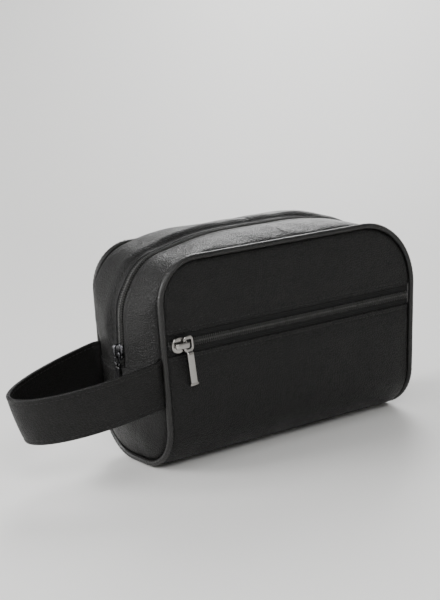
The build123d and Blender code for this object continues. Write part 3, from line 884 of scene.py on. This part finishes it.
zip_x = np.linspace(-119.0, 119.0, 240)[None]
pocket_line = face_points(zip_x, np.full(zip_x.shape, POCKET_ZIP_Z), 0.0)[0]
pocket_out = np.broadcast_to(np.array([0.0, -1.0, 0.0]), pocket_line.shape)
make_zip_chain("pocket", [(1, "upper"), (-1, "lower")], pocket_line, pocket_out, np.array([0.0, 0.0, 1.0]))
zip_points, zip_ways = strip_surface(np.array([-0.5, 0.0, 0.5]))
make_zip_chain("main", [(-1, "front"), (1, "rear")], zip_points[1], zip_ways[1], np.array([0.0, 1.0, 0.0]))

# -------------------------------------------------------------------------------------- bag's stitches
# A row of black thread runs 2.5 mm in from every hem: above and below the pocket zip, both sides of the main
# zip, and along the top of both end panels.
STITCH_LONG = 2.9
STITCH_STEP = 3.7
STITCH_RADIUS = 0.27
STITCH_SIDES = 6


def stitches(line, out, lift=0.02):
    """A row of stitches along a line. Each is a thread that rises out of the leather, runs level and dives
    back: its height follows half a sine wave, and it thins towards both ends."""
    far = run_length(line)
    first = np.arange(0.6, far[-1] - STITCH_LONG, STITCH_STEP)
    share = np.array([0.0, 0.12, 0.35, 0.65, 0.88, 1.0])
    stations = first[:, None] + share * STITCH_LONG
    middle, ways = read_line(line, stations), read_ways(line, out, stations)
    high = lift + 0.30 * np.sin(np.pi * share) - 0.16
    thin = STITCH_RADIUS * np.array([0.45, 0.85, 1.0, 1.0, 0.85, 0.45])
    across = np.cross(unit(np.gradient(middle, axis=-2)), ways)
    points = swept(middle + ways * high[:, None], across, thin, thin, STITCH_SIDES)
    each = share.size * STITCH_SIDES
    return points, repeated(tube_faces(share.size, STITCH_SIDES), each, first.size)


def pocket_stitches(side):
    """Stitches along one hem of the pocket zip."""
    x = np.linspace(-117.5, 117.5, 400)[None]
    z = np.full(x.shape, POCKET_ZIP_Z + side * (POCKET_WINDOW + STITCH_IN))
    dip = face_dip(x, z, zip_calm(z)) + STITCH_GROOVE
    line = np.stack([x, dip - FACE_Y, z], axis=2)[0]
    return stitches(line, pocket_out[:1].repeat(400, axis=0))


def strip_stitches(side):
    """Stitches along one hem of the main zip."""
    y = side * (MAIN_WINDOW + STITCH_IN + np.array([-0.2, 0.0, 0.2]))
    points, ways = strip_surface(y)
    line = (points - ways * strip_dip(points)[..., None])[1]
    return stitches(line[line[:, 2] > END_TOP + 1], ways[1][line[:, 2] > END_TOP + 1])


def end_stitches(side):
    """Stitches along the top of an end panel."""
    y = np.linspace(-39.5, 39.5, 160)[None]
    line = end_surface(side, y, np.full(y.shape, END_TOP - STITCH_IN))[0]
    return stitches(line, np.broadcast_to(np.array([float(side), 0.0, 0.0]), line.shape))


for name, rows in (
    ("pocket_hem_stitches", [pocket_stitches(-1), pocket_stitches(1)]),
    ("main_zip_stitches", [strip_stitches(-1), strip_stitches(1)]),
    ("end_panel_stitches", [end_stitches(-1), end_stitches(1)]),
):
    make_piece(name, rows, thread_finish)

# ---------------------------------------------------------------------------------------- zip sliders
# A slider is a cast body of two plates joined by a blade, with flanges that hold the coils, and an arch on
# top for its pull, with a leaf spring inside it. The pocket's is bright nickel and the main one black nickel,
# like the stops that end the main zip.
BRIGHT_NICKEL = (0.34, 0.33, 0.315)
BLACK_NICKEL = (0.115, 0.115, 0.122)
SPRING_STEEL = (0.50, 0.50, 0.50)
PLATE_FACES = (0.7, 2.0)
BACK_FACES = (-3.3, -2.4)
FLANGE_LOW = -1.1
CROWN_BAR = 1.3
CROWN_CAP = 1.7
CROWN_LOW = 4.6
FLANGE_IN = 0.6
FLANGE_SPAN = (-0.34, 0.40)
BLADE_IN = 3.0
BLADE_HALF = (2.0, 0.35)
TOP_SCALES = (0.5, 0.9, 0.985, 1.0, 0.985, 0.93, 0.8, 0.5, 0.2)
TOP_HEIGHTS = (0.7, 0.7, 0.82, 1.35, 1.72, 1.95, 2.04, 2.10, 2.12)
BACK_SCALES = (0.47, 0.893, 0.94, 0.94, 0.893, 0.47)
BACK_HEIGHTS = (-3.3, -3.3, -3.05, -2.6, -2.4, -2.4)


def metal_finish(name, colour, roughness):
    """Plated metal: fine polishing scratches and a soft unevenness in its gloss."""
    finish, shader, start = new_finish(name, colour, roughness, metallic=1.0)
    place = start.node("TexCoord", output=3)
    stretch = start.node("Mapping", inputs={"Vector": place, "Scale": (900.0, 900.0, 5200.0)})
    scratches = start.node("TexNoise", inputs={"Vector": stretch, "Scale": 1.0, "Detail": 3.0})
    broad = start.node("TexNoise", inputs={"Vector": place, "Scale": 260.0, "Detail": 3.0})
    feed(shader, "Roughness", scratches * (roughness * 0.5) + broad * (roughness * 0.9) + roughness * 0.3)
    feed(shader, "Base Color", two_tone(start, broad, colour, 0.86, 1.08))
    height = {"Height": scratches * 0.6 + broad * 0.6, "Strength": 0.12, "Distance": 0.00006}
    feed(shader, "Normal", start.node("Bump", inputs=height))
    return finish


bright_nickel = metal_finish("bright_nickel", BRIGHT_NICKEL, 0.17)
black_nickel = metal_finish("black_nickel", BLACK_NICKEL, 0.24)
spring_steel = metal_finish("spring_steel", SPRING_STEEL, 0.32)
dress("pocket_slider_lock", spring_steel)
dress("main_slider_lock", spring_steel)
dress("main_zip_stops", black_nickel)


class Seat:
    """Where a slider sits: its middle, the way from nose to tail, the way across, and the way out."""

    def __init__(self, origin, along, out):
        self.origin = np.array(origin)
        self.along = unit(np.array(along))
        self.out = unit(np.array(out))
        self.across = np.cross(self.out, self.along)

    def place(self, points):
        """Points in the slider's own frame as points of the bag."""
        frame_ways = np.stack([self.along, self.across, self.out])
        return self.origin + points @ frame_ways


def stacked(outline, scales, heights):
    """Solid from one flat outline drawn at several heights and scales, joined one to the next."""
    rings = outline[None] * np.array(scales)[:, None, None]
    z = np.broadcast_to(np.array(heights)[:, None, None], rings.shape[:2] + (1,))
    return np.concatenate([rings, z], axis=2), tube_faces(len(scales), outline.shape[0])


def plate_outline(length, width, count=56):
    """Outline of a slider's plate: a superellipse, wider towards the nose and narrower towards the tail."""
    angle = (np.arange(count) + 0.5) * 2 * np.pi / count
    x = np.sign(np.cos(angle)) * np.abs(np.cos(angle)) ** 0.9
    y = np.sign(np.sin(angle)) * np.abs(np.sin(angle)) ** 0.9
    narrowing = 1 - 0.16 * smooth((x + 0.2) / 1.2)
    return np.stack([x * length / 2, y * narrowing * width / 2], axis=1)


def slider_shell(length, width):
    """Both plates, the flanges along both sides of the channel, and the blade between the plates."""
    outline = plate_outline(length, width)
    low = PLATE_FACES[0]
    top = stacked(outline, TOP_SCALES, TOP_HEIGHTS)
    back = stacked(outline, BACK_SCALES, BACK_HEIGHTS)
    nose = -length / 2 + BLADE_IN
    blade_line = np.linspace((nose, 0, BACK_FACES[0] + 0.4), (nose, 0, low + 0.4), 6)
    blade = swept(blade_line, np.array([1.0, 0, 0]), *BLADE_HALF, 12, 3)
    parts = [top, back, (blade, tube_faces(*blade.shape[:2]))]
    for side in (-1, 1):
        x = np.linspace(length * FLANGE_SPAN[0], length * FLANGE_SPAN[1], 16)
        share = 2 * x / length
        half = width / 2 * (1 - np.abs(share) ** 2.5) ** 0.4 * (1 - 0.16 * smooth((share + 0.2) / 1.2))
        edge = side * (half - FLANGE_IN)
        wall_line = np.stack([x, edge, np.full(x.shape, (FLANGE_LOW + low + 0.3) / 2)], axis=1)
        wall = swept(wall_line, np.array([0, 1.0, 0]), 0.5, (low + 0.3 - FLANGE_LOW) / 2, 12, 4)
        parts.append((wall, tube_faces(*wall.shape[:2])))
    return parts


def crown_arch(length, cap_half):
    """Arch from foot to foot: a flat bar that widens into the cap over the pull."""
    reach = length / 2 - 0.2
    front, rear = -reach + 2.05, reach - 0.65
    low, high = PLATE_FACES[1] - 0.3, CROWN_LOW + CROWN_CAP / 2
    corners = np.array([(front, 0, low), (front, 0, high), (rear, 0, high), (rear, 0, low)], float)
    line = rounded_line(corners, np.array([0, 1.7, 1.9, 0]), [6, 16, 6], [10, 10])
    capped = smooth((line[:, 2] - low - 1.0) / (high - low - 1.3))
    wide = CROWN_BAR + (cap_half - CROWN_BAR) * capped
    thick = CROWN_BAR / 2 + (CROWN_CAP - CROWN_BAR) / 2 * capped
    points = swept(line, np.array([0, 1.0, 0]), wide, thick, 20, 2.8)
    return [(points, tube_faces(*points.shape[:2]))]


def seated(seat, parts):
    """Parts in a slider's own frame, put in place."""
    return [(seat.place(points), quads) for points, quads in parts]


POCKET_SLIDER = (14.0, 12.0, 2.2)
POCKET_SLIDER_X = -109.9
MAIN_SLIDER = (12.6, 9.6, 1.6)
MAIN_SLIDER_Z = 88.5
(end_low_x, end_low_z), (end_high_x, end_high_z) = CROWN_CORNERS[:2]
end_slope = (end_high_x - end_low_x) / (end_high_z - end_low_z)
main_seat_x = end_low_x + end_slope * (MAIN_SLIDER_Z - end_low_z)
pocket_seat = Seat((POCKET_SLIDER_X, -FACE_Y, POCKET_ZIP_Z), (1.0, 0, 0), (0, -1.0, 0))
main_seat = Seat((main_seat_x, 0, MAIN_SLIDER_Z), (end_slope, 0, 1.0), (-1.0, 0, end_slope))
for name, seat, (length, width, cap_half), finish, slot_name in (
    ("pocket", pocket_seat, POCKET_SLIDER, bright_nickel, "bright_nickel"),
    ("main", main_seat, MAIN_SLIDER, black_nickel, "black_nickel"),
):
    rides = f"{name}_slider"
    shell = seated(seat, slider_shell(length, width))
    make_piece(f"{rides}_shell", shell, finish, rides, [f"{rides}_body"])
    arch = seated(seat, crown_arch(length, cap_half))
    make_piece(f"{rides}_arch", arch, finish, rides, [f"{rides}_crown"])

# ---------------------------------------------------------------------------------------- zip pulls
# The pocket's pull is one casting: an eye round the arch's rear foot, a thick bar and a flared foot. The main
# slider has an oval black-nickel link under its arch, with a small gloss black tab hooked on it.
ENAMEL = (0.012, 0.012, 0.0125)
EYE_OUTER = (0, 0.2), 4.3, 6.4, 3.4
EYE_INNER = (0, 0.2), 2.45, 3.3, 1.2
EYE_FACES = (2.35, 4.2)
BAR_FACES = (2.35, 5.6)
BAR_HALF = 2.9
BAR_HIGH = -5.2
BAR_LOW = -31.0
PULL_TILT = math.radians(6.3)
LIP_HALF = 4.0
LINK_LOW = -10.4
LINK_WIRE = 1.5
LINK_OUTER = (-4.9, 0), 5.5, 3.8, 2.9
LINK_INNER = (-4.9, 0), 4.0, 2.3, 1.4
LINK_FACES = (2.5, 3.8)
HEAD_OUTER = (0, 0), 1.95, 1.9, 1.7
HEAD_INNER = (0, 0), 1.2, 1.15, 1.0
HEAD_WIDE = 2.7
TAB_LONG = 12.0
TAB_HALF = 2.9
TAB_FACES = (2.4, 3.9)
ARCH_FOOT_IN = 0.85
NECK_LONG = 2.2
FLARE_UP = 2.6
FLARE_LONG = 2.0
TIP_ROUND = 0.7
TAB_ROUND = 1.4
TAB_CLEAR = 1.6
enamel_finish = plain_finish("black_enamel", ENAMEL, 0.16, 500.0, specular=0.6, relief=0.1)


def rounded_box(middle, half_x, half_y, round_by):
    """Closed line round a rectangle with round corners, from the middle of its lower side."""
    x, y = middle
    corners = [(x, y - half_y), (x + half_x, y - half_y), (x + half_x, y + half_y)]
    corners += [(x - half_x, y + half_y), (x - half_x, y - half_y), (x, y - half_y)]
    rounds = np.array([0, round_by, round_by, round_by, round_by, 0])
    return rounded_line(np.array(corners, float), rounds, [6, 6, 8, 6, 6], [12] * 4)[:-1]


def hoop(outer, inner, faces, power=2.6):
    """Closed ring between two rounded rectangles. Its section is a superellipse from one to the other, as
    deep as the two faces are apart."""
    outside, inside = rounded_box(*outer), rounded_box(*inner)
    angle = (np.arange(14) + 0.5) * 2 * np.pi / 14
    wide = np.sign(np.cos(angle)) * np.abs(np.cos(angle)) ** (2 / power)
    deep = np.sign(np.sin(angle)) * np.abs(np.sin(angle)) ** (2 / power)
    flat = (outside + inside)[:, None] / 2 + (outside - inside)[:, None] / 2 * wide[:, None]
    high = np.broadcast_to(sum(faces) / 2 + (faces[1] - faces[0]) / 2 * deep[:, None], flat.shape[:2] + (1,))
    points = np.concatenate([flat, high], axis=2)
    return points, hoop_faces(*points.shape[:2])


def make_pocket_pull():
    """The eye round the arch's foot, and the bar as a section carried down from it and flared at its foot.
    Both are turned by the tilt about the arch's foot."""
    eye = hoop(EYE_OUTER, EYE_INNER, EYE_FACES)
    down = graded(BAR_HIGH, BAR_LOW, 0.8, 0.25, 0.10)
    half_deep = (BAR_FACES[1] - BAR_FACES[0]) / 2
    neck = smooth((BAR_HIGH - down) / NECK_LONG)
    flare = smooth((BAR_LOW + FLARE_UP - down) / FLARE_LONG)
    tip = np.sqrt(np.clip(1 - np.clip((BAR_LOW + TIP_ROUND - down) / TIP_ROUND, 0, 1) ** 2, 0.05, 1))
    wide = (BAR_HALF * (0.86 + 0.14 * neck) + (LIP_HALF - BAR_HALF) * flare) * (0.85 + 0.15 * tip)
    deep = half_deep * (0.58 + 0.42 * neck + 0.16 * flare) * (0.6 + 0.4 * tip)
    line = np.stack([0 * down, down, BAR_FACES[0] + half_deep * (0.58 + 0.42 * neck)], axis=1)
    bar = swept(line, np.array([1.0, 0, 0]), wide, deep, 28, 3.4)
    turn = np.array(
        [
            [math.cos(PULL_TILT), math.sin(PULL_TILT), 0],
            [-math.sin(PULL_TILT), math.cos(PULL_TILT), 0],
            [0, 0, 1.0],
        ]
    )
    foot = np.array([POCKET_SLIDER[0] / 2 - ARCH_FOOT_IN, 0, 0])
    parts = [(points @ turn + foot, quads) for points, quads in (eye, (bar, tube_faces(*bar.shape[:2])))]
    placed = seated(pocket_seat, parts)
    make_piece("pocket_metal_pull", placed, bright_nickel, "pocket_pull", ["pocket_pull"])


def make_main_pull():
    """The link round the arch's front foot, and the tab: a head round the link's lower wire, and a bar."""
    link = seated(main_seat, [hoop(LINK_OUTER, LINK_INNER, LINK_FACES, 2.2)])
    make_piece("main_oval_link", link, black_nickel, "main_link", ["main_pull_link"])
    wire = LINK_LOW + LINK_WIRE / 2
    head, head_quads = hoop(HEAD_OUTER, HEAD_INNER, (-HEAD_WIDE / 2, HEAD_WIDE / 2), 2.4)
    head = head[..., [0, 2, 1]] + np.array([wire, 0, sum(LINK_FACES) / 2])
    down = graded(wire - TAB_CLEAR, wire - TAB_LONG, 0.7, 0.2, 0.15)
    ends = np.clip(np.minimum(wire - TAB_CLEAR - down, down - wire + TAB_LONG) / TAB_ROUND, 0, 1)
    rounded = np.sqrt(1 - (1 - ends) ** 2)
    wide = TAB_HALF * (0.45 + 0.55 * rounded) * (0.84 + 0.16 * (wire - down) / TAB_LONG)
    deep = (TAB_FACES[1] - TAB_FACES[0]) / 2 * (0.5 + 0.5 * rounded)
    line = np.stack([down, 0 * down, np.full(down.shape, sum(TAB_FACES) / 2)], axis=1)
    bar = swept(line, np.array([0, 1.0, 0]), wide, deep, 20, 3.2)
    parts = seated(main_seat, [(head, head_quads), (bar, tube_faces(*bar.shape[:2]))])
    make_piece("main_black_tab", parts, enamel_finish, "main_tab", ["main_pull_tab"])


make_pocket_pull()
make_main_pull()

# ---------------------------------------------------------------------------------------- wrist strap
# Two layers of leather sewn together along both edges make the strap. It leaves the left end's two seams as
# one drooping loop, wider round at its upper edge, and its ends are sewn in beside the piping.
STRAP_COLOUR = (0.0085, 0.0083, 0.0081)
STRAP_EDGES = (51.5, 88.5)
STRAP_DROOP = math.radians(9.7)
STRAP_LOOPS = (94.5, 39.5), (106.5, 44.0)
STRAP_LAYER = 1.4
STRAP_GAP = 0.1
STRAP_ROOT_X = -120.0
STRAP_ROOT_Y = 40.4
STRAP_STITCH_IN = 3.2
STRAP_GROOVE_HALF = 0.6
# Painted shade: the inner layer is a darker copy of the strap's leather, standing in for the shade inside the
# loop.
STRAP_INNER_SHADE_COLOUR = (0.0042, 0.0040, 0.0038)
STRAP_WIDE = STRAP_EDGES[1] - STRAP_EDGES[0]
strap_finish = leather_finish("strap_leather", STRAP_COLOUR, GRAIN * 0.95, roughness=0.37)
strap_inner_shade_finish = leather_finish("strap_inner_shaded_leather", STRAP_INNER_SHADE_COLOUR, GRAIN, relief=0.6, roughness=0.5)


def strap_surface(turn, share):
    """Outer face of the strap at angles round the loop and shares of the way up it: half ellipses on planes
    that droop, mixed from the lower edge's to the upper edge's, and drawn in to the seams at the root."""
    (low_reach, low_half), (high_reach, high_half) = STRAP_LOOPS
    reach = low_reach + (high_reach - low_reach) * share
    half = low_half + (high_half - low_half) * share
    out = reach * np.cos(turn)
    wave = 0.5 * np.sin(3.1 * turn + 0.8) * np.cos(turn) * (0.4 + share)
    x = STRAP_ROOT_X - (out + wave) * math.cos(STRAP_DROOP)
    height = STRAP_EDGES[0] + (STRAP_EDGES[1] - STRAP_EDGES[0]) * share
    z = height - out * math.sin(STRAP_DROOP) + 0.35 * np.sin(2.3 * turn + 2.0) * np.cos(turn)
    y = half * np.sin(turn)
    rooted = smooth((x + 130) / 9)
    y = y - np.sign(y) * (np.abs(y) - STRAP_ROOT_Y) * rooted
    bulge = 0.7 * np.sin(np.pi * share) * smooth((-x - 126) / 20)
    ways = np.stack([np.cos(turn), -np.sin(turn), 0 * turn], axis=-1)
    return np.stack([x, y, z], axis=-1) - ways * bulge[..., None]


def strap_frame(turn, share):
    """Points of the strap's outer face and the unit ways into the loop."""
    turn, share = np.broadcast_arrays(turn, share)
    step = 1e-3
    along = strap_surface(turn + step, share) - strap_surface(turn - step, share)
    up = strap_surface(turn, share + step) - strap_surface(turn, share - step)
    inward = unit(np.cross(along, up))
    points = strap_surface(turn, share)
    middle = points - np.array([STRAP_ROOT_X - 40, 0, 0])
    level = (inward * middle * np.array([1, 1, 0])).sum(-1, keepdims=True)
    return points, -inward * np.sign(level)


def strap_layer(name, near, far, finish, replaced):
    """One layer as a band with rounded edges. Its section goes up its outer face, over its upper edge, down
    its inner face and under its lower edge, with a groove along each row of stitches."""
    half = (far - near) / 2
    flat = graded(half, STRAP_WIDE - half, 1.2, 0.3, 0.3)
    from_edge = np.minimum(flat, STRAP_WIDE - flat)
    groove = np.exp(-(((from_edge - STRAP_STITCH_IN) / STRAP_GROOVE_HALF) ** 2))
    angle = np.linspace(0, np.pi, 7)[1:-1]
    sunk = STITCH_GROOVE * groove
    outer_sunk = sunk if near == 0 else 0 * sunk
    inner_sunk = sunk if near > 0 else 0 * sunk
    over = STRAP_WIDE - half + half * np.sin(angle)
    up = np.concatenate([flat, over, flat[::-1], half - half * np.sin(angle)])
    turned = near + half - half * np.cos(angle)
    deep = np.concatenate([near + outer_sunk, turned, (far - inner_sunk)[::-1], turned[::-1]])
    turn = np.radians(np.linspace(-91.6, 91.6, 190))[:, None]
    points, inward = strap_frame(turn, up[None] / STRAP_WIDE)
    points = points + inward * deep[:, None]
    band = points, tube_faces(*points.shape[:2])
    return make_piece(name, [band], finish, None, replaced)


def strap_stitches(share, depth, way):
    """Stitches along one edge of the strap, on its outer face or its inner one."""
    turn = np.radians(np.linspace(-86.5, 86.5, 500))
    points, inward = strap_frame(turn, np.full(turn.shape, share))
    return stitches(points + inward * depth, inward * way)


double = 2 * STRAP_LAYER + STRAP_GAP
edge_rows = (STRAP_STITCH_IN / STRAP_WIDE, 1 - STRAP_STITCH_IN / STRAP_WIDE)
outside_rows = [strap_stitches(share, STITCH_GROOVE, -1) for share in edge_rows]
inside_rows = [strap_stitches(share, double - STITCH_GROOVE, 1) for share in edge_rows]
inner_parts = ["strap_lining", "strap_front_anchor", "strap_rear_anchor"]
strap_pieces = [
    strap_layer("strap_outer_leather", 0.0, STRAP_LAYER, strap_finish, ["strap_outer"]),
    # The inner layer's darker finish is painted shade for the inside of the loop.
    strap_layer("strap_inner_leather", STRAP_LAYER + STRAP_GAP, double, strap_inner_shade_finish, inner_parts),
    make_piece("strap_stitches", outside_rows + inside_rows, thread_finish, None),
]
for piece in strap_pieces:
    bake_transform(piece)
